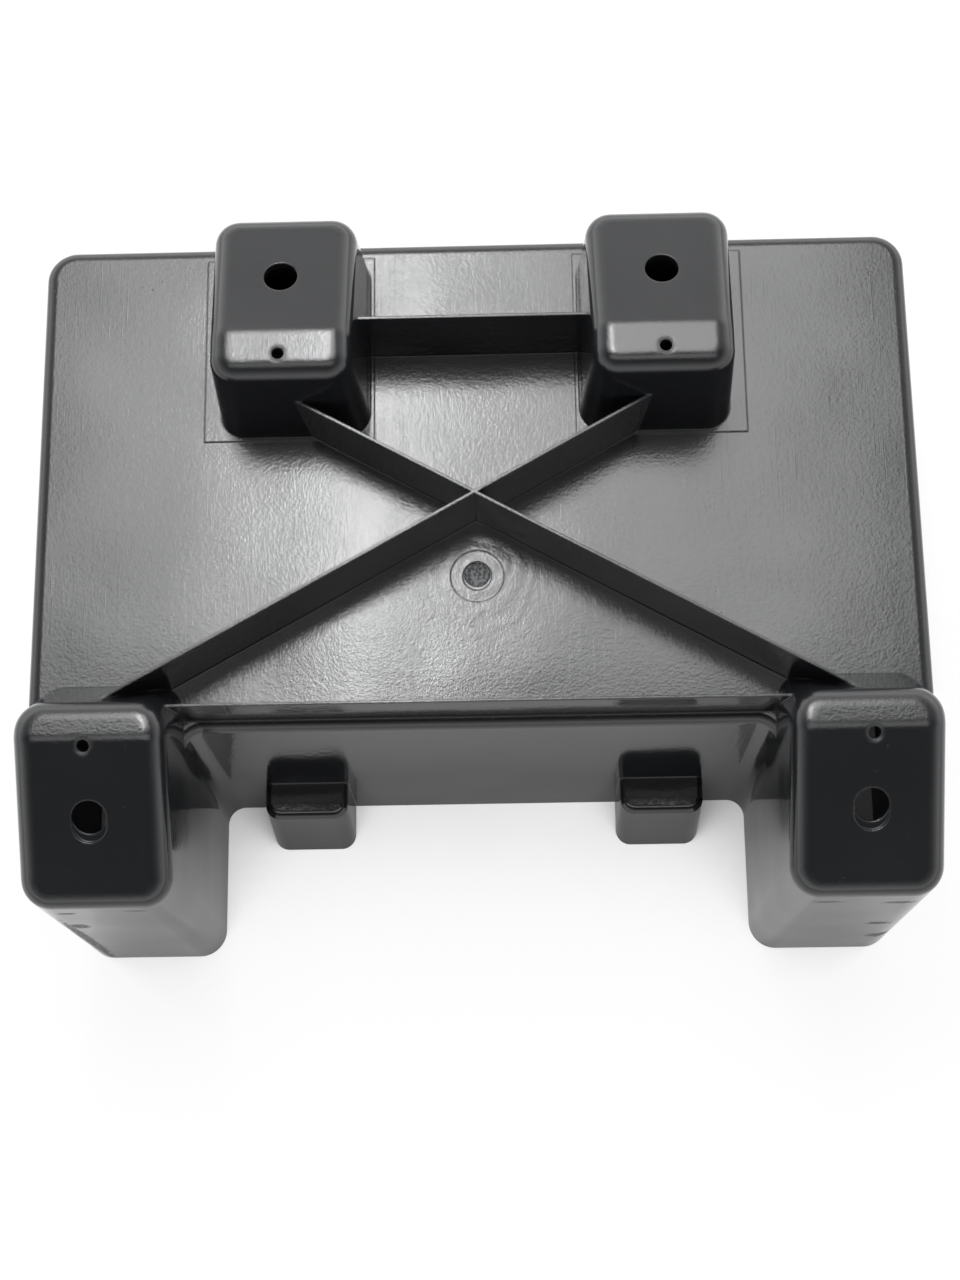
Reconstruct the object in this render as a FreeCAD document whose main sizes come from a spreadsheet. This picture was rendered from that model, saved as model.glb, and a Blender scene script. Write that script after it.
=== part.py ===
import FreeCAD, Part
import os

import Sketcher
from FreeCAD import Placement, Rotation, Vector

# Battery case: one deep tray moulded in black plastic.
# It lies on its open rim with the underside up: z = 0 is the rim, +z comes out of the underside,
# +x runs along the long side and -y points to the side with the recessed wall and the hook lugs.

# Driving dimensions, in millimetres and degrees
SIZES = {
    "wall": 2.8,
    # Box: the rim is its lower end, the floor its upper end
    "box_length": 316.8,
    "box_depth": 193.2,
    "rim_height": 101.8,
    "side_draft": 0.5,
    "recess_draft": 5.7,
    "box_corner": 11.2,
    "floor_round": 4.6,
    # Front feet: columns ahead of the recessed wall that rise past the floor
    "front_reach": 58.4,
    "front_inner": 102.4,
    "front_outer": 153.6,
    "front_back": 16.2,
    "front_height": 35.4,
    "front_crest": 9.3,
    "front_slope": 22.5,
    "front_corner": 10.1,
    "front_inner_draft": 0.3,
    "front_outer_draft": 1.1,
    "front_toe_draft": 3.35,
    "front_back_draft": 22.0,
    "recess_round": 6.8,
    # Rear feet: closer together, set on the floor
    "rear_inner": 37.4,
    "rear_outer": 91.4,
    "rear_toe": 75.3,
    "rear_heel": 6.7,
    "rear_height": 46.9,
    "rear_crest": 54.9,
    "rear_slope": 13.0,
    "rear_corner": 8.8,
    "rear_inner_draft": 4.6,
    "rear_outer_draft": 3.5,
    "rear_toe_draft": 5.2,
    "rear_heel_draft": 0.5,
    # Pads: low square steps that the rear feet stand on
    "pad_inner": 36.2,
    "pad_outer": 97.4,
    "pad_toe": 76.5,
    "pad_heel": 6.1,
    "pad_height": 0.4,
    # Rounding of the feet
    "foot_round": 7.0,
    "crest_round": 6.0,
    "least_round": 1.1,
    # Bolt holes and drain holes through the faces of the feet
    "bolt_bore": 11.6,
    "drain_bore": 4.2,
    "bore_reach": 10.0,
    "front_bolt_x": 128.2,
    "front_bolt_out": 34.0,
    "front_drain_x": 128.9,
    "front_drain_out": 11.8,
    "bolt_relief": 2.7,
    "bolt_relief_depth": 1.4,
    "rear_bolt_x": 65.2,
    "rear_bolt_in": 32.6,
    "rear_drain_in": 63.0,
    # Ribs on the floor, thickening towards it
    "rib_edge": 1.1,
    "rib_draft": 1.1,
    "cross_rib_height": 27.8,
    "cross_rib_angle": 29.2,
    "cross_rib_in": 106.6,
    "front_rib_height": 21.2,
    "front_rib_in": 4.2,
    "rear_rib_height": 30.9,
    "rear_rib_in": 43.6,
    "rib_seat": 2.2,
    # Hook lugs on the recessed wall, open at the rim
    "lug_inner": 51.3,
    "lug_outer": 83.2,
    "lug_height": 34.3,
    "lug_reach": 17.1,
    "lug_draft": 12.2,
    "lug_corner": 5.6,
    "lug_round": 2.8,
    # Gate mark on the floor
    "gate_in": 128.4,
    "gate_ring": 18.9,
    "gate_ring_depth": 0.3,
    "gate_disc": 10.1,
    "gate_disc_depth": 0.8,
}

doc = FreeCAD.newDocument("battery_case")
sheet = doc.addObject("Spreadsheet::Sheet", "sizes")
for row, (alias, value) in enumerate(SIZES.items(), 1):
    sheet.set(f"A{row}", alias)
    sheet.set(f"B{row}", str(value))
    sheet.setAlias(f"B{row}", alias)
doc.recompute()

# Lines and levels that the features share, as expressions of the sheet
FLOOR = "sizes.rim_height"
REAR_RIM = "(sizes.box_depth + sizes.front_reach) / 2"
FRONT_RIM = f"({REAR_RIM} - sizes.box_depth - sizes.front_reach)"
RECESS_RIM = f"({REAR_RIM} - sizes.box_depth)"
SIDE = "(sizes.box_length / 2 - tan(sizes.side_draft) * sizes.rim_height)"
REAR = f"({REAR_RIM} - tan(sizes.side_draft) * sizes.rim_height)"
RECESS = f"({RECESS_RIM} + tan(sizes.recess_draft) * sizes.rim_height)"
FRONT = f"({FRONT_RIM} + tan(sizes.front_toe_draft) * sizes.rim_height)"
FRONT_CREST = f"({RECESS} - sizes.front_crest)"
FRONT_TOP = f"({FLOOR} + sizes.front_height)"
REAR_CREST = f"({REAR} - sizes.rear_crest)"
REAR_TOP = f"({FLOOR} + sizes.rear_height)"

# A sketch's origin, as a constraint names it
ORIGIN = (-1, 1)

# Two points nearer than this, in millimetres, are one
SAME_SPOT = 0.01

# A face looks up when its normal's z is over the first, and aside when it is under the second
LOOKS_UP = 0.8
LOOKS_ASIDE = 0.6


def number(expression):
    """The present value of an expression of the sheet."""
    return float(sheet.evalExpression(expression))


def near(value, expression, reach=SAME_SPOT):
    return abs(value - number(expression)) < reach


def middle(edge):
    return edge.valueAt((edge.FirstParameter + edge.LastParameter) / 2)


def upright(edge, faces):
    """Whether an edge climbs along its block."""
    ends = [vertex.Z for vertex in edge.Vertexes]
    return max(ends) - min(ends) > number("2 * sizes.wall")


def round_top(edge, faces):
    """Whether an edge parts a face that looks up from one that looks aside."""
    ups = []
    for face in faces:
        u0, u1, v0, v1 = face.ParameterRange
        ups.append(face.normalAt((u0 + u1) / 2, (v0 + v1) / 2).z)
    return max(ups) > LOOKS_UP and min(ups) < LOOKS_ASIDE


def edge_mark(edge):
    """A mark by which an edge of one face is known again in its shape."""
    return tuple(round(value, 3) for value in (*middle(edge), edge.Length))


def picked_edges(shape, picked):
    """The numbers of the edges that picked says yes to, given each edge and the faces beside it."""
    beside = {}
    for face in shape.Faces:
        for edge in face.Edges:
            beside.setdefault(edge_mark(edge), []).append(face)
    edges = enumerate(shape.Edges, 1)
    return [index for index, edge in edges if picked(edge, beside[edge_mark(edge)])]


def origin_plane(body, role):
    return next(item for item in body.Origin.OriginFeatures if item.Role == role)


def bind_distance(sketch, kind, first, second, expression):
    index = sketch.addConstraint(Sketcher.Constraint(kind, *first, *second, number(expression)))
    sketch.setExpression(f"Constraints[{index}]", expression)


def tapered_block(body, name, base, levels, sides, drafts, inset):
    """A block between two levels over base, each of its four sides leaning in by its own draft."""
    wedge = body.newObject("PartDesign::AdditiveWedge", name)
    wedge.AttachmentSupport = (origin_plane(body, "XZ_Plane"), [""])
    wedge.MapMode = "FlatFace"
    wedge.setExpression("Ymin", f"{base} + ({levels[0]})")
    wedge.setExpression("Ymax", f"{base} + ({levels[1]})")
    low_x, high_x, low_y, high_y = sides
    for end, level in zip(("", "2"), levels):
        leans = [f"(tan({draft}) * ({level}) + ({inset}) / cos({draft}))" for draft in drafts]
        wedge.setExpression(f"X{end}min", f"{low_x} + {leans[0]}")
        wedge.setExpression(f"X{end}max", f"{high_x} - {leans[1]}")
        wedge.setExpression(f"Z{end}min", f"{leans[3]} - {high_y}")
        wedge.setExpression(f"Z{end}max", f"-({low_y} + {leans[2]})")


def slope_cut(body, name, crest_y, crest_z, slope, reach):
    """Cuts the sloping face of a foot, from the crest down towards the sign of reach."""
    sketch = body.newObject("Sketcher::SketchObject", f"{name}_profile")
    sketch.AttachmentSupport = (origin_plane(body, "YZ_Plane"), [""])
    sketch.MapMode = "FlatFace"
    drop = f"abs({reach}) * tan({slope})"
    low = Vector(number(f"{crest_y} + ({reach})"), number(f"{crest_z} - {drop}"), 0)
    high = Vector(low.x, number(f"{crest_z} + {drop}"), 0)
    back = Vector(number(f"{crest_y} - ({reach})"), high.y, 0)
    for start, end in ((low, high), (high, back), (back, low)):
        sketch.addGeometry(Part.LineSegment(start, end), False)
    for line in range(3):
        sketch.addConstraint(Sketcher.Constraint("Coincident", line, 2, (line + 1) % 3, 1))
    sketch.addConstraint(Sketcher.Constraint("Vertical", 0))
    sketch.addConstraint(Sketcher.Constraint("Horizontal", 1))
    bind_distance(sketch, "DistanceX", ORIGIN, (0, 1), f"{crest_y} + ({reach})")
    bind_distance(sketch, "DistanceY", ORIGIN, (0, 1), f"{crest_z} - {drop}")
    bind_distance(sketch, "DistanceY", (0, 1), (0, 2), f"2 * {drop}")
    bind_distance(sketch, "DistanceX", (1, 1), (1, 2), f"-2 * ({reach})")
    pocket = body.newObject("PartDesign::Pocket", name)
    pocket.Profile = sketch
    pocket.SideType = "Symmetric"
    pocket.Type = "Length"
    pocket.setExpression("Length", "2 * sizes.box_length")


def dressed(body, name, kind, measure, amount, picked):
    """Dresses edges of a body's last feature with a feature of the kind."""
    doc.recompute()
    base = body.Tip
    dressing = body.newObject(kind, name)
    dressing.Base = (base, [f"Edge{index}" for index in picked_edges(base.Shape, picked)])
    dressing.setExpression(measure, amount)
    doc.recompute()


def rounded(body, name, radius, picked):
    """Rounds edges of a body's last feature."""
    dressed(body, name, "PartDesign::Fillet", "Radius", radius, picked)


def bevelled(body, name, radius, picked):
    """Bevels edges of a body's last feature, by as much as a rounding of the radius takes off."""
    dressed(body, name, "PartDesign::Chamfer", "Size", f"(2 - sqrt(2)) * {radius}", picked)


def softened(inset):
    """Rounding for an outer form, a bevel for the hidden hollow of one."""
    return bevelled if number(inset) > 0 else rounded


def rounded_form(name, base, radius, picked):
    """Rounds edges of a fused form."""
    doc.recompute()
    reach = number(radius)
    fillet = doc.addObject("Part::Fillet", name)
    fillet.Base = base
    fillet.Edges = [(index, reach, reach) for index in picked_edges(base.Shape, picked)]
    return fillet


def inner_radius(outer, inset):
    """The radius of a rounding inside a wall, never less than the smallest."""
    return f"max({outer} - ({inset}); sizes.least_round)"


def joined(name, forms):
    fuse = doc.addObject("Part::MultiFuse", name)
    fuse.Shapes = forms
    fuse.Refine = True
    return fuse


def cut_from(name, form, tool):
    cut = doc.addObject("Part::Cut", name)
    cut.Base = form
    cut.Tool = tool
    return cut


def both_sides(form):
    mirror = doc.addObject("Part::Mirroring", f"{form.Name}_mirrored")
    mirror.Source = form
    mirror.Normal = Vector(1, 0, 0)
    return [form, mirror]


def box(name, levels, inset):
    """The body of the case, the recessed wall leaning in more than the other three."""
    body = doc.addObject("PartDesign::Body", name)
    sides = (f"-{SIDE}", SIDE, RECESS, REAR)
    drafts = ("sizes.side_draft", "sizes.side_draft", "sizes.recess_draft", "sizes.side_draft")
    tapered_block(body, f"{name}_block", FLOOR, levels, sides, drafts, inset)
    rounded(body, f"{name}_corners", inner_radius("sizes.box_corner", inset), upright)
    return body


def foot(name, levels, sides, drafts, corner, crest, inset):
    """A tapered column with round corners, its sloping face cut from the crest."""
    body = doc.addObject("PartDesign::Body", name)
    height = f"{levels[1]} - ({inset})"
    tapered_block(body, f"{name}_column", FLOOR, (levels[0], height), sides, drafts, inset)
    rounded(body, f"{name}_corners", inner_radius(corner, inset), upright)
    line, slope, reach = crest
    inward = "-1" if number(reach) > 0 else "1"
    crest_y = f"({line} + {inward} * ({inset}) * tan({slope} / 2))"
    crest_z = f"({FLOOR} + {height})"
    slope_cut(body, f"{name}_face", crest_y, crest_z, slope, reach)

    def on_crest(edge, faces):
        return near(middle(edge).y, crest_y) and near(middle(edge).z, crest_z)

    rounded(body, f"{name}_crest", "sizes.crest_round", on_crest)
    softened(inset)(body, f"{name}_top", inner_radius("sizes.foot_round", inset), round_top)
    return body


def front_foot(name, low, inset):
    sides = ("sizes.front_inner", "sizes.front_outer", FRONT, f"({RECESS} + sizes.front_back)")
    drafts = [f"sizes.front_{side}_draft" for side in ("inner", "outer", "toe", "back")]
    crest = (FRONT_CREST, "sizes.front_slope", "-sizes.front_reach")
    return foot(name, (low, "sizes.front_height"), sides, drafts, "sizes.front_corner", crest, inset)


def rear_foot(name, low, inset):
    sides = (
        "sizes.rear_inner",
        "sizes.rear_outer",
        f"({REAR} - sizes.rear_toe)",
        f"({REAR} - sizes.rear_heel)",
    )
    drafts = [f"sizes.rear_{side}_draft" for side in ("inner", "outer", "toe", "heel")]
    crest = (REAR_CREST, "sizes.rear_slope", "sizes.rear_crest")
    return foot(name, (low, "sizes.rear_height"), sides, drafts, "sizes.rear_corner", crest, inset)


def rear_pad():
    """The low square step that a rear foot stands on."""
    body = doc.addObject("PartDesign::Body", "rear_pad")
    sides = (
        "sizes.pad_inner",
        "sizes.pad_outer",
        f"({REAR} - sizes.pad_toe)",
        f"({REAR} - sizes.pad_heel)",
    )
    levels = ("-sizes.wall / 2", "sizes.pad_height")
    tapered_block(body, "rear_pad_block", FLOOR, levels, sides, ["sizes.side_draft"] * 4, "0")
    return body


def lug(name, low, inset):
    """A hook lug: a ledge on the recessed wall, its front running down to the rim."""
    body = doc.addObject("PartDesign::Body", name)
    sides = (
        "sizes.lug_inner",
        "sizes.lug_outer",
        f"({RECESS_RIM} - sizes.lug_reach)",
        f"({RECESS} + 2 * sizes.wall)",
    )
    drafts = ("sizes.side_draft", "sizes.side_draft", "sizes.lug_draft", "sizes.side_draft")
    levels = (low, f"sizes.lug_height - ({inset})")
    tapered_block(body, f"{name}_block", "0", levels, sides, drafts, inset)
    rounded(body, f"{name}_corners", inner_radius("sizes.lug_corner", inset), upright)
    softened(inset)(body, f"{name}_ledge", inner_radius("sizes.lug_round", inset), round_top)
    return body


def recess_corner(inset):
    """Picks the edges where the recessed wall meets the inner walls of the front feet."""
    reach = "2 * sizes.wall"

    def picked(edge, faces):
        spot = middle(edge)
        ahead = number(f"{RECESS_RIM} - {reach}") < spot.y < number(f"{RECESS} + {reach}")
        beside = near(abs(spot.x), f"sizes.front_inner + {inset}", number(reach))
        return ahead and beside and upright(edge, faces) and spot.z < number(FLOOR)

    return picked


def on_floor_edge(edge, faces):
    """Whether an edge is the front or the rear edge of the floor; the others carry on from these."""
    spot = middle(edge)
    on_middle = near(spot.z, FLOOR) and near(spot.x, "0")
    return on_middle and (near(spot.y, REAR) or near(spot.y, RECESS))


def rib(name, half_lengths, height, crossing_y, angle):
    """A thin tapered wall on the floor that runs both ways from the middle line, turned by angle."""
    body = doc.addObject("PartDesign::Body", name)
    bar = body.newObject("PartDesign::AdditiveWedge", f"{name}_wall")
    bar.AttachmentSupport = (origin_plane(body, "XZ_Plane"), [""])
    bar.MapMode = "FlatFace"
    sunk = "sizes.wall / 2"
    bar.setExpression("Ymin", f"{FLOOR} - {sunk}")
    bar.setExpression("Ymax", f"{FLOOR} + {height}")
    back, ahead = half_lengths
    half_edge = "sizes.rib_edge / 2"
    half_base = f"{half_edge} + tan(sizes.rib_draft) * ({height} + {sunk})"
    for end, half in (("", half_base), ("2", half_edge)):
        bar.setExpression(f"X{end}min", f"-({back})")
        bar.setExpression(f"X{end}max", ahead)
        bar.setExpression(f"Z{end}min", f"-({half})")
        bar.setExpression(f"Z{end}max", half)
    bar.AttachmentOffset = Placement(Vector(), Rotation(Vector(0, 1, 0), number(angle)))
    bar.setExpression("AttachmentOffset.Rotation.Angle", angle)
    bar.setExpression("AttachmentOffset.Base.z", f"-({crossing_y})")
    return body


def ribs():
    """The crossing ribs from foot to foot and the two straight ones between feet."""
    lean = "sizes.cross_rib_angle"
    cross_runs = [f"(sizes.{end}_bolt_x + sizes.rib_seat) / cos({lean})" for end in ("front", "rear")]
    cross_y = f"({REAR} - sizes.cross_rib_in)"
    cross = rib("cross_rib", cross_runs, "sizes.cross_rib_height", cross_y, lean)
    front_run = "(sizes.front_inner + sizes.front_corner)"
    front_y = f"({RECESS} + sizes.front_rib_in)"
    front = rib("front_rib", [front_run] * 2, "sizes.front_rib_height", front_y, "0")
    lean_in = "tan(sizes.rear_inner_draft) * sizes.rear_rib_height"
    rear_run = f"(sizes.rear_inner + {lean_in} + sizes.wall / 2)"
    rear_y = f"({REAR} - sizes.rear_rib_in)"
    rear = rib("rear_rib", [rear_run] * 2, "sizes.rear_rib_height", rear_y, "0")
    return [*both_sides(cross), front, rear]


def bore(name, diameter, centre, lean, depth, shift="0"):
    """A round cutter square to a face that leans by lean about x, from depth below the face to above it."""
    cutter = doc.addObject("Part::Cylinder", name)
    cutter.setExpression("Radius", f"{diameter} / 2")
    cutter.setExpression("Height", f"{depth} + sizes.bore_reach")
    cutter.Placement = Placement(Vector(), Rotation(Vector(1, 0, 0), number(lean)))
    cutter.setExpression("Placement.Rotation.Angle", lean)
    x, y, z = centre
    cutter.setExpression("Placement.Base.x", x)
    cutter.setExpression("Placement.Base.y", f"{y} + sin({lean}) * ({depth}) - cos({lean}) * ({shift})")
    cutter.setExpression("Placement.Base.z", f"{z} - cos({lean}) * ({depth}) - sin({lean}) * ({shift})")
    return cutter


def front_bores():
    """The bolt hole with its relief and the drain hole, square to a front foot's sloping face."""
    cutters = []
    for hole, name, depth, shift in (
        ("bolt", "front_bolt", "sizes.bore_reach", "0"),
        ("bolt", "front_bolt_relief", "sizes.bolt_relief_depth", "sizes.bolt_relief"),
        ("drain", "front_drain", "sizes.bore_reach", "0"),
    ):
        out = f"sizes.front_{hole}_out"
        drop = f"({out} - sizes.front_crest) * tan(sizes.front_slope)"
        centre = (f"sizes.front_{hole}_x", f"({RECESS} - {out})", f"({FRONT_TOP} - {drop})")
        cutters.append(bore(name, f"sizes.{hole}_bore", centre, "sizes.front_slope", depth, shift))
    return cutters


def rear_bores():
    """The bolt hole in a rear foot's sloping face and the drain hole in its level top."""
    drop = "(sizes.rear_crest - sizes.rear_bolt_in) * tan(sizes.rear_slope)"
    bolt_centre = ("sizes.rear_bolt_x", f"({REAR} - sizes.rear_bolt_in)", f"({REAR_TOP} - {drop})")
    drain_centre = ("sizes.rear_bolt_x", f"({REAR} - sizes.rear_drain_in)", REAR_TOP)
    return [
        bore("rear_bolt", "sizes.bolt_bore", bolt_centre, "-sizes.rear_slope", "sizes.bore_reach"),
        bore("rear_drain", "sizes.drain_bore", drain_centre, "0", "sizes.bore_reach"),
    ]


def gate_mark():
    """A shallow ring and a deeper disc where the plastic was fed in."""
    centre = ("0", f"({REAR} - sizes.gate_in)", FLOOR)
    ring = bore("gate_ring", "sizes.gate_ring", centre, "0", "sizes.gate_ring_depth")
    disc = bore("gate_disc", "sizes.gate_disc", centre, "0", "sizes.gate_disc_depth")
    return [ring, disc]


def outer_form():
    """The case as a solid form: box, feet, lugs and ribs."""
    low = f"-{FLOOR}"
    front = front_foot("front_foot", low, "0")
    columns = joined("columns", [box("box", (low, "0"), "0"), *both_sides(front)])
    cornered = rounded_form("recess_corners", columns, "sizes.recess_round", recess_corner("0"))
    edged = rounded_form("floor_edges", cornered, "sizes.floor_round", on_floor_edge)
    rear = rear_foot("rear_foot", "-sizes.floor_round", "0")
    feet = [*both_sides(rear), *both_sides(rear_pad())]
    return joined("outer_form", [edged, *feet, *both_sides(lug("lug", "0", "0")), *ribs()])


def hollow_form():
    """The space inside the case, one wall smaller and open past the rim."""
    low = f"-{FLOOR} - sizes.wall"
    room = box("box_hollow", (low, "-sizes.wall"), "sizes.wall")
    bevelled(room, "box_hollow_edges", inner_radius("sizes.floor_round", "sizes.wall"), round_top)
    front = front_foot("front_hollow", low, "sizes.wall")
    columns = joined("hollow_columns", [room, *both_sides(front)])
    corner_radius = "sizes.recess_round + sizes.wall"
    cornered = rounded_form("hollow_corners", columns, corner_radius, recess_corner("sizes.wall"))
    rear = rear_foot("rear_hollow", "-sizes.floor_round", "sizes.wall")
    hook = lug("lug_hollow", "-sizes.wall", "sizes.wall")
    return joined("hollow_form", [cornered, *both_sides(rear), *both_sides(hook)])


shell = cut_from("shell", outer_form(), hollow_form())
holes = [item for cutter in (*front_bores(), *rear_bores()) for item in both_sides(cutter)]
case = cut_from("battery_case", shell, joined("cutters", [*holes, *gate_mark()]))
case.Label = "battery_case"
doc.recompute()

failed = [item.Label for item in doc.Objects if "Invalid" in item.State or "Error" in item.State]
if failed:
    raise RuntimeError(f"these objects failed: {', '.join(failed)}")
if case.Shape.isNull() or not case.Shape.isValid():
    raise RuntimeError("the case has no valid shape")

os.makedirs("parts", exist_ok=True)
case.Shape.exportStep(f"parts/{case.Label}.step")
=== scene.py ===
# %% [markdown]
# # A moulded battery case, upside down on white paper
# The object is one piece of injection-moulded polypropylene: a deep tray, seen from its
# underside, with four bolt feet, crossing ribs, a recessed side and two hook lugs.
# Its form comes from the CAD frame. This script gives it the finish of the real one, and a
# camera and studio lights that show it as the photograph does.

import math

import bmesh
import bpy
from mathutils import Matrix, Vector

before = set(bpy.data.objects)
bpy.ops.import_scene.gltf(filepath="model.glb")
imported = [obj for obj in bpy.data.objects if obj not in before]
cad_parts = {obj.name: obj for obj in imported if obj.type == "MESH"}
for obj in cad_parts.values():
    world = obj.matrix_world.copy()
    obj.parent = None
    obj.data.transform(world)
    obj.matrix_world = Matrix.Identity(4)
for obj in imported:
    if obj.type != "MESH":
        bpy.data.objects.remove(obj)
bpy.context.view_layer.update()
MM = 0.001


# %% [markdown]
# ## Small helpers
# Colours are written as sRGB hex values, as a paint card gives them, and Blender's shaders
# want them linear. Node trees are long to write out by hand, so one function adds a node,
# sets its values and links its inputs.

# %% Colour and node helpers
def linear(hex_colour):
    """An sRGB hex colour as linear red, green, blue and alpha."""
    channels = [int(hex_colour[place:place + 2], 16) / 255 for place in (1, 3, 5)]
    return [c / 12.92 if c <= 0.04045 else ((c + 0.055) / 1.055) ** 2.4 for c in channels] + [1.0]


def add(tree, kind, settings=None, **inputs):
    """Adds a node to a tree; an input is a value, or the socket that it is linked from."""
    node = tree.nodes.new(kind)
    for name, value in (settings or {}).items():
        setattr(node, name, value)
    for name, value in inputs.items():
        key = int(name[1:]) if name[0] == "_" else name.replace("_", " ")
        if isinstance(value, bpy.types.NodeSocket):
            tree.links.new(value, node.inputs[key])
        else:
            node.inputs[key].default_value = value
    return node


def new_material(name):
    """An empty material and its node tree."""
    material = bpy.data.materials.new(name)
    material.use_nodes = True
    material.node_tree.nodes.clear()
    return material, material.node_tree


PLUS = {"operation": "ADD"}
TIMES = {"operation": "MULTIPLY"}
LARGER = {"operation": "MAXIMUM"}
WHITE = linear("#ffffff")
print("white is", WHITE[:3], "in linear light")


# %% [markdown]
# ## The plastic
# Black polypropylene, moulded in a tool whose faces were spark-eroded and worn smooth. The eye
# gets a deep, cool black under a satin gloss: the plate mirrors a lamp as a soft, sparkling glow
# that wanders, because a thin flat wall sinks a little as it cools, and it mirrors the ribs with
# edges that blur with height. Handling polishes and dulls it in patches.
# Grain and sinks could be modelled, but would take millions of faces. Noise textures raise them
# in the shading instead, each with a real width and depth in millimetres.

# %% Colour, gloss and unevenness of the plastic
BLACK = linear("#191a1c")
PLASTIC_IOR = 1.55
POLISHED = 0.1
SATIN = (0.16, 0.23)
PATCH = 45 * MM

# The real grain is 0.1 to 0.3 mm wide, and is drawn coarser, so that the render shows it.
GRAIN, GRAIN_DEPTH = 1.0 * MM, 0.06 * MM
PEBBLE, PEBBLE_DEPTH = 2.6 * MM, 0.03 * MM
SINK, SINK_DEPTH = 60 * MM, 1.2 * MM
print("black plastic is", [round(value, 4) for value in BLACK[:3]], "in linear light")


# %% [markdown]
# ## Spark-eroded faces
# Only the plate and the tops of the feet have the grain of the spark-eroded tool, and the
# walls are smoother. The faces could be picked out one by one, but there are thousands, so a
# mask finds them: they face up, and they are high up.

# %% Mask of the spark-eroded faces
ERODED_ABOVE = (90 * MM, 100 * MM)


def eroded_faces(tree, coordinates):
    """A mask of the plate and the tops of the feet."""
    facing = add(tree, "ShaderNodeSeparateXYZ", Vector=coordinates["Normal"]).outputs["Z"]
    facing = add(tree, "ShaderNodeMapRange", Value=facing, From_Min=0.6, From_Max=0.95).outputs[0]
    height = add(tree, "ShaderNodeSeparateXYZ", Vector=coordinates["Object"]).outputs["Z"]
    raised = add(
        tree, "ShaderNodeMapRange", Value=height, From_Min=ERODED_ABOVE[0], From_Max=ERODED_ABOVE[1],
    ).outputs[0]
    return add(tree, "ShaderNodeMath", TIMES, _0=facing, _1=raised).outputs[0]


print("the grain starts", round(ERODED_ABOVE[0] / MM), "mm up")


# %% [markdown]
# ## Scuffs
# The front feet are scraped, which tears the plastic and whitens its shreds. Its pits are painted
# shade, drawn darker than the black plastic where the tears sink. A painted picture of that would
# need the mesh laid out flat. Here each scuff is a soft spot instead, which a Mapping node squeezes
# onto a spherical gradient, and a noise breaks it up.

# %% Places of the scuffs
TEAR, TEAR_DEPTH = 1.1 * MM, 0.4 * MM
TORN = 0.55
# Painted shade: the pits of the tears are drawn darker than the black plastic.
PIT_SHADE = linear("#0b0b0c")
SHRED = linear("#5c5e61")

# Each scuff has a centre across and up, and half its width and height, in millimetres.
SCUFFS = (
    (-146, 42, 3.4, 62), (-142, 76, 5, 6), (-116, 105.5, 6, 1.6), (-140.5, 102, 5, 2),
    (116, 102.5, 7, 2.4), (140.5, 99.5, 8, 3), (141, 57, 6, 4), (146, 29, 6, 6),
)
SCUFF_FRONT, SCUFF_REACH = -122, 12
print(len(SCUFFS), "scuffs on the front feet")


# %% Masks of the scuffs
def spot(tree, place, centre, reach):
    """A mask that is 1 at a centre and 0 at its reach along each axis, and its own coordinates."""
    squeezed = add(
        tree, "ShaderNodeMapping", Vector=place, Location=[-c / r for c, r in zip(centre, reach)],
        Scale=[1 / r for r in reach],
    ).outputs["Vector"]
    mask = add(tree, "ShaderNodeTexGradient", {"gradient_type": "SPHERICAL"}, Vector=squeezed)
    return mask.outputs["Fac"], squeezed


def scuffed(tree, place, tears):
    """A mask over all the scuffs, broken by the tears."""
    masks = []
    for across, up, half_width, half_height in SCUFFS:
        centre = [size * MM for size in (across, SCUFF_FRONT, up)]
        reach = [size * MM for size in (half_width, SCUFF_REACH, half_height)]
        masks.append(spot(tree, place, centre, reach)[0])
    whole = masks[0]
    for mask in masks[1:]:
        whole = add(tree, "ShaderNodeMath", LARGER, _0=whole, _1=mask).outputs[0]
    broken = add(tree, "ShaderNodeMath", PLUS, _0=whole, _1=tears).outputs[0]
    return add(tree, "ShaderNodeMapRange", Value=broken, From_Min=0.75, From_Max=0.95).outputs[0]


print("the longest scuff reaches over", 2 * max(scuff[3] for scuff in SCUFFS), "mm")


# %% [markdown]
# ## Hairlines
# Hands and straps leave fine straight lines on the plate. They are far too fine for a mesh, so
# a noise is stretched into long streaks, turned, and shown in the rubbed patches alone.

# %% Hairlines on the plate
HAIRLINE, HAIRLINE_DEPTH = (0.5 * MM, 35 * MM, 35 * MM), 0.015 * MM
HAIRLINE_TURN = -40


def hairlines(tree, place, patches):
    """Fine straight lines, where the plastic is rubbed."""
    along = add(
        tree, "ShaderNodeMapping", Vector=place, Rotation=(0, 0, math.radians(HAIRLINE_TURN)),
        Scale=[1 / size for size in HAIRLINE],
    ).outputs["Vector"]
    noise = add(tree, "ShaderNodeTexNoise", Vector=along, Scale=1.0, Detail=2.0).outputs["Fac"]
    lines = add(tree, "ShaderNodeMapRange", Value=noise, From_Min=0.58, From_Max=0.75).outputs[0]
    rubbed = add(tree, "ShaderNodeMapRange", Value=patches, From_Min=0.45, From_Max=0.6).outputs[0]
    return add(tree, "ShaderNodeMath", TIMES, _0=lines, _1=rubbed).outputs[0]


print("a hairline is drawn", round(HAIRLINE[0] / MM, 2), "mm wide")


# %% [markdown]
# ## The gate
# The melt came in through a gate in the middle of the plate. The gate was torn off, and left a
# rough disc, with the wavy rings of the melt's flow round it. Its round step is in the CAD
# model. A soft spot like that of a scuff places the torn middle, with a sharper edge, and a
# Wave texture in rings, strongly distorted, that fades outwards.

# %% Marks of the gate
GATE = (0, -2.6 * MM, 101.8 * MM)
GATE_REACH, FLOW_DEPTH = 30 * MM, 0.05 * MM
GATE_DISC, GATE_DISC_EDGE = 4.5 * MM, 0.3 * MM


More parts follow.
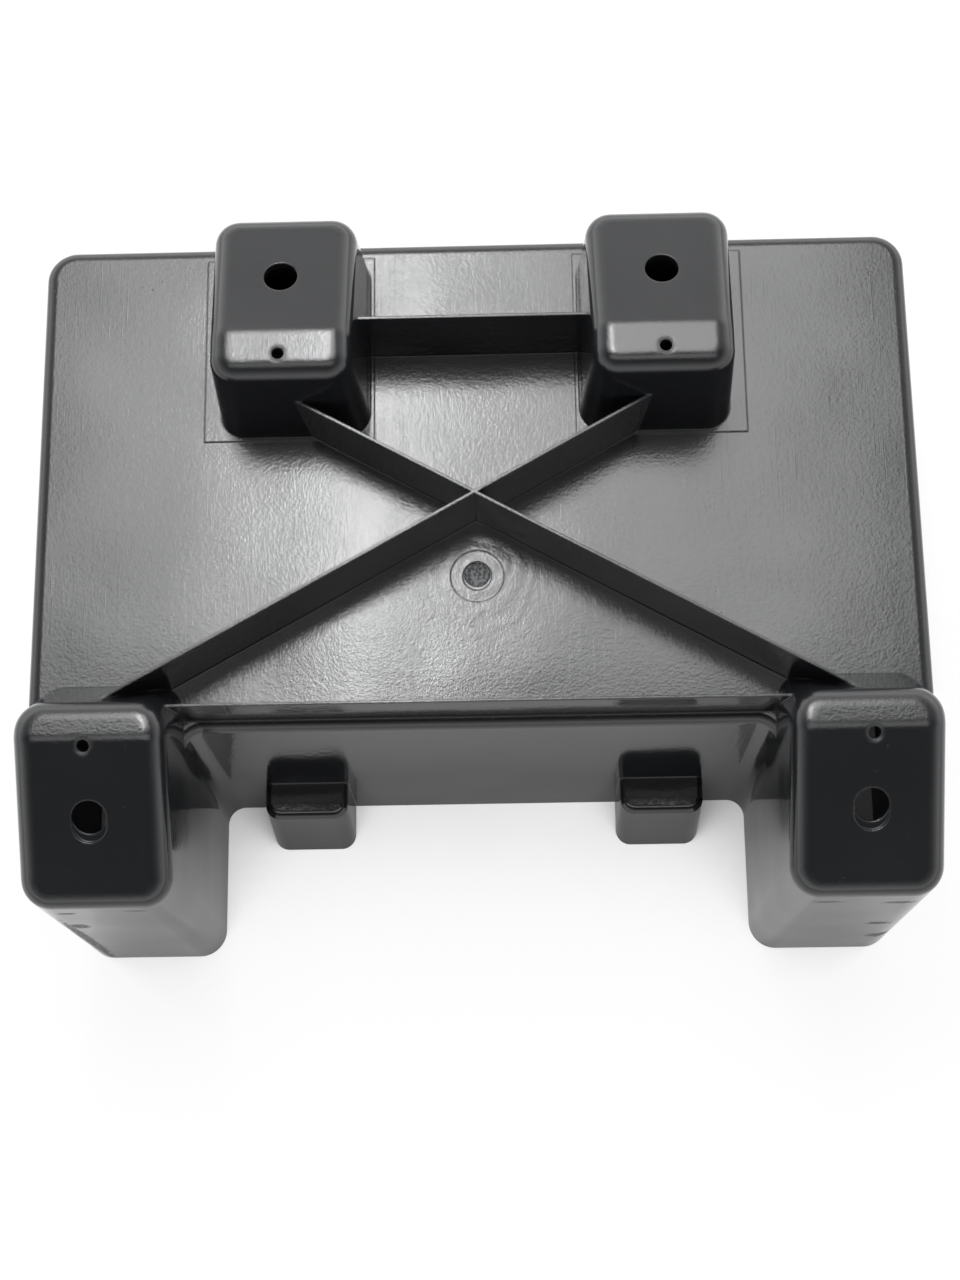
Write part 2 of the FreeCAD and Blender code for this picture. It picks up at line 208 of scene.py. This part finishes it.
def gate_marks(tree, place):
    """A mask of the torn disc, and the height of the flow rings round it."""
    gate, gate_place = spot(tree, place, GATE, [GATE_REACH] * 3)
    torn = add(
        tree, "ShaderNodeMapRange", Value=gate,
        From_Min=1 - (GATE_DISC + GATE_DISC_EDGE) / GATE_REACH,
        From_Max=1 - (GATE_DISC - GATE_DISC_EDGE) / GATE_REACH,
    ).outputs[0]
    rings = add(
        tree, "ShaderNodeTexWave", {"wave_type": "RINGS", "rings_direction": "Z"}, Vector=gate_place,
        Scale=1.6, Distortion=9.0, Detail=2.0, Detail_Scale=1.2,
    ).outputs["Fac"]
    return torn, add(tree, "ShaderNodeMath", TIMES, _0=rings, _1=gate).outputs[0]


print("the torn disc is", round(2 * GATE_DISC / MM, 1), "mm wide")


# %% [markdown]
# ## Soft edges
# The roots of the ribs and feet have tiny radii, and the crests of the feet wider ones. Bevels
# in the mesh would cost many faces along so many edges, so the Bevel node rounds them in the
# shading, and its radius grows near the crests. The left feet mirror the right ones, so the
# places of the crests on the right serve for both, on coordinates that are folded at the middle.

# %% Radius of the edges
ROOT_RADIUS, CREST_RADIUS = 0.8 * MM, 2.6 * MM

# The crests of a front and a rear foot on the right: a centre, and the reach along each axis.
CRESTS = (
    ((0.128, -0.062, 0.135), (0.045, 0.020, 0.020)),
    ((0.0645, 0.060, 0.148), (0.045, 0.020, 0.020)),
)


def edge_radius(tree, place):
    """How far the shading rounds an edge: more at the crests of the feet than elsewhere."""
    along = add(tree, "ShaderNodeSeparateXYZ", Vector=place).outputs
    across = add(tree, "ShaderNodeMath", {"operation": "ABSOLUTE"}, _0=along["X"]).outputs[0]
    folded = add(tree, "ShaderNodeCombineXYZ", X=across, Y=along["Y"], Z=along["Z"]).outputs["Vector"]
    front, rear = [spot(tree, folded, centre, reach)[0] for centre, reach in CRESTS]
    crest = add(tree, "ShaderNodeMath", LARGER, _0=front, _1=rear).outputs[0]
    return add(
        tree, "ShaderNodeMapRange", Value=crest, From_Min=0.0, From_Max=0.2,
        To_Min=ROOT_RADIUS, To_Max=CREST_RADIUS,
    ).outputs[0]


print("the radius goes from", round(ROOT_RADIUS / MM, 1), "to", round(CREST_RADIUS / MM, 1), "mm")


# %% [markdown]
# ## The whole finish
# One Principled shader covers the case, and the masks change it from place to place. The
# reliefs are a chain of Bump nodes, each on the normal of the one before, so that each keeps its
# own depth. The gloss is polished on the walls, satin on the eroded faces, and dull where the
# plastic is torn.

# %% Reliefs, and worn colour with painted shade in the pits
def uneven(tree, place, reliefs):
    """The normal of softened edges, under one relief after another."""
    normal = add(tree, "ShaderNodeBevel", {"samples": 6}, Radius=edge_radius(tree, place)).outputs[0]
    for height, depth in reliefs:
        bump = add(tree, "ShaderNodeBump", Height=height, Strength=1.0, Distance=depth, Normal=normal)
        normal = bump.outputs["Normal"]
    return normal


def worn_colour_and_pit_shade(tree, tears, worn):
    """Black, with painted shade in the pits, and whitened on the shreds of what is worn."""
    colours = {"data_type": "RGBA"}
    shreds = add(tree, "ShaderNodeMapRange", Value=tears, From_Min=0.42, From_Max=0.6).outputs[0]
    # The pit colour is painted shade in the hollows of the tears; the shred colour is real whitening.
    torn_whitening_and_pit_shade = add(tree, "ShaderNodeMix", colours, _0=shreds, _6=PIT_SHADE, _7=SHRED).outputs[2]
    return add(tree, "ShaderNodeMix", colours, _0=worn, _6=BLACK, _7=torn_whitening_and_pit_shade).outputs[2]


print("a shred is", round(SHRED[1] / BLACK[1], 1), "times as light as the plastic")


# %% Moulded black polypropylene
def moulded_plastic():
    """The finish of the whole case."""
    material, tree = new_material("moulded_black_polypropylene")
    coordinates = add(tree, "ShaderNodeTexCoord").outputs
    place = coordinates["Object"]
    eroded = eroded_faces(tree, coordinates)
    grain = add(tree, "ShaderNodeTexNoise", Vector=place, Scale=1 / GRAIN, Detail=3.0, Roughness=0.6)
    grain = add(tree, "ShaderNodeMath", TIMES, _0=grain.outputs["Fac"], _1=eroded).outputs[0]
    pebbles = add(tree, "ShaderNodeTexNoise", Vector=place, Scale=1 / PEBBLE, Detail=1.0).outputs["Fac"]
    sinks = add(tree, "ShaderNodeTexNoise", Vector=place, Scale=1 / SINK, Detail=1.0).outputs["Fac"]
    patches = add(tree, "ShaderNodeTexNoise", Vector=place, Scale=1 / PATCH, Detail=2.0).outputs["Fac"]
    tears = add(tree, "ShaderNodeTexNoise", Vector=place, Scale=1 / TEAR, Detail=2.0).outputs["Fac"]
    lines = hairlines(tree, place, patches)
    torn, flow = gate_marks(tree, place)
    worn = add(tree, "ShaderNodeMath", LARGER, _0=torn, _1=scuffed(tree, place, tears)).outputs[0]
    tear_height = add(tree, "ShaderNodeMath", TIMES, _0=worn, _1=tears).outputs[0]
    reliefs = (
        (sinks, SINK_DEPTH), (pebbles, PEBBLE_DEPTH), (grain, GRAIN_DEPTH),
        (lines, HAIRLINE_DEPTH), (flow, FLOW_DEPTH), (tear_height, TEAR_DEPTH),
    )
    satin = add(
        tree, "ShaderNodeMapRange", Value=patches, From_Min=0.3, From_Max=0.7,
        To_Min=SATIN[0], To_Max=SATIN[1],
    ).outputs[0]
    gloss = add(tree, "ShaderNodeMapRange", Value=eroded, To_Min=POLISHED, To_Max=satin).outputs[0]
    roughness = add(tree, "ShaderNodeMapRange", Value=worn, To_Min=gloss, To_Max=TORN).outputs[0]
    shader = add(
        tree, "ShaderNodeBsdfPrincipled", Base_Color=worn_colour_and_pit_shade(tree, tears, worn),
        Roughness=roughness, IOR=PLASTIC_IOR, Normal=uneven(tree, place, reliefs),
    )
    add(tree, "ShaderNodeOutputMaterial", Surface=shader.outputs["BSDF"])
    return material


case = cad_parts["battery_case"]
case.data.materials.clear()
case.data.materials.append(moulded_plastic())
print("the case has", len(case.data.polygons), "faces")


# %% [markdown]
# ## Floor
# The photograph is a cut-out on white, so the floor shows white to the camera, and a little of
# that to mirror rays, and still takes a shadow. More light would whiten the paper too, but would
# also wash out the plastic, so a Light Path node tells those rays from the rest, and an Ambient
# Occlusion node fades the white where the case stands close over the paper.

# %% White floor
PAPER = linear("#f2f2f2")
SEEN_WHITE, MIRRORED_WHITE = 0.9, 0.2
SKY_REACH = 0.3
FLOOR_HALF = 4.0


def paper():
    """Matt paper that shows white to the camera, and in part to mirror rays."""
    material, tree = new_material("white_paper")
    rays = add(tree, "ShaderNodeLightPath").outputs
    seen = add(tree, "ShaderNodeMath", TIMES, _0=rays["Is Camera Ray"], _1=SEEN_WHITE).outputs[0]
    mirrored = add(
        tree, "ShaderNodeMath", LARGER, _0=rays["Is Glossy Ray"], _1=rays["Is Transmission Ray"],
    ).outputs[0]
    mirrored = add(tree, "ShaderNodeMath", TIMES, _0=mirrored, _1=MIRRORED_WHITE).outputs[0]
    either = add(tree, "ShaderNodeMath", LARGER, _0=seen, _1=mirrored).outputs[0]
    sky = add(tree, "ShaderNodeAmbientOcclusion", {"samples": 4}, Distance=SKY_REACH).outputs["AO"]
    open_sky = add(tree, "ShaderNodeMapRange", Value=sky, From_Min=0.15, From_Max=0.45).outputs[0]
    share = add(tree, "ShaderNodeMath", TIMES, _0=either, _1=open_sky).outputs[0]
    matt = add(tree, "ShaderNodeBsdfDiffuse", Color=PAPER).outputs["BSDF"]
    white = add(tree, "ShaderNodeEmission", Color=WHITE, Strength=1.0).outputs["Emission"]
    mixed = add(tree, "ShaderNodeMixShader", Fac=share, _1=matt, _2=white)
    add(tree, "ShaderNodeOutputMaterial", Surface=mixed.outputs["Shader"])
    return material


floor_mesh = bpy.data.meshes.new("floor")
floor_bm = bmesh.new()
bmesh.ops.create_grid(floor_bm, x_segments=1, y_segments=1, size=FLOOR_HALF)
floor_bm.to_mesh(floor_mesh)
floor_bm.free()
floor = bpy.data.objects.new("floor", floor_mesh)
bpy.context.scene.collection.objects.link(floor)
floor_mesh.materials.append(paper())
print("the floor is", 2 * FLOOR_HALF, "m wide")


# %% [markdown]
# ## Light
# Black plastic shows what it mirrors, so the lamps are placed for their mirror images. A broad
# softbox hangs above and behind the case, where the plate and the strips of the feet mirror it.
# A narrow strip beside it gives the brighter streak, and a card in front of them lights the
# front sides of the ribs. The room is pale low down and behind, and dark above in front, which
# keeps the sloping faces of the feet black.

# %% Softboxes
# Each hangs level and shines down: its name, its centre, its width and depth, and the radiance
# that a mirror under it shows, where 1 is white.
SOFTBOXES = (
    ("overhead_softbox", (-0.06, 0.605, 1.3), (0.98, 0.83), 5.6),
    ("overhead_strip", (-0.13, 0.47, 1.29), (0.06, 0.56), 42.0),
    ("bounce_card", (0.0, -0.30, 1.3), (1.2, 0.34), 2.4),
)
DOWN = Vector((0, 0, -1)).to_track_quat("-Z", "Y").to_euler()

for name, centre, (width, depth), radiance in SOFTBOXES:
    lamp = bpy.data.lights.new(name, "AREA")
    lamp.shape = "RECTANGLE"
    lamp.size = width
    lamp.size_y = depth
    lamp.energy = radiance * math.pi * width * depth
    softbox = bpy.data.objects.new(name, lamp)
    bpy.context.scene.collection.objects.link(softbox)
    softbox.location = centre
    softbox.rotation_euler = DOWN
    softbox.visible_camera = False
    print(name, "gives", round(lamp.energy, 1), "W")

# %% Room
# The light by how far a ray points behind the case, and by how far it points up.
BEHIND = {"From_Min": -0.2, "From_Max": 0.8, "To_Min": 0.02, "To_Max": 0.9}
AROUND = {"From_Min": 0.05, "From_Max": 0.85, "To_Min": 1.5, "To_Max": 0.0}
SMOOTH = {"interpolation_type": "SMOOTHSTEP"}

world = bpy.data.worlds.new("room")
world.use_nodes = True
room = world.node_tree
room.nodes.clear()
toward = add(room, "ShaderNodeTexCoord").outputs["Generated"]
toward = add(room, "ShaderNodeSeparateXYZ", Vector=toward).outputs
behind = add(room, "ShaderNodeMapRange", SMOOTH, Value=toward["Y"], **BEHIND).outputs["Result"]
around = add(room, "ShaderNodeMapRange", SMOOTH, Value=toward["Z"], **AROUND).outputs["Result"]
level = add(room, "ShaderNodeMath", PLUS, _0=behind, _1=around).outputs[0]
camera_ray = add(room, "ShaderNodeLightPath").outputs["Is Camera Ray"]
strength = add(room, "ShaderNodeMix", {"data_type": "FLOAT"}, _0=camera_ray, _2=level, _3=1.0)
walls = add(room, "ShaderNodeBackground", Color=WHITE, Strength=strength.outputs[0])
add(room, "ShaderNodeOutputWorld", Surface=walls.outputs["Background"])
bpy.context.scene.world = world
print("the room's two lights reach", BEHIND["To_Max"], "and", AROUND["To_Min"], "times white")

# %% [markdown]
# ## Camera
# The photograph looks down steeply from the side of the recess, turned and rolled a few
# degrees. Its place and lens were solved from the edges of the box, and a small lens shift
# takes up what the frame is off centre.

# %% Camera
CAMERA_PLACE = (0.0129, -0.1897, 0.7257)
CAMERA_TURNS = ((4.77, "Z"), (13.75, "X"), (-5.66, "Z"))

camera_data = bpy.data.cameras.new("camera")
camera_data.sensor_width = 36.0
camera_data.lens = 52.03
camera_data.shift_x = 0.0008
camera_data.shift_y = 0.0236
camera = bpy.data.objects.new("camera", camera_data)
bpy.context.scene.collection.objects.link(camera)
heading, tilt, roll = [Matrix.Rotation(math.radians(turn), 4, axis) for turn, axis in CAMERA_TURNS]
camera.matrix_world = Matrix.Translation(CAMERA_PLACE) @ heading @ tilt @ roll
bpy.context.scene.camera = camera
bpy.context.scene.view_settings.view_transform = "Standard"
print("the camera is", CAMERA_PLACE[2], "m above the floor")
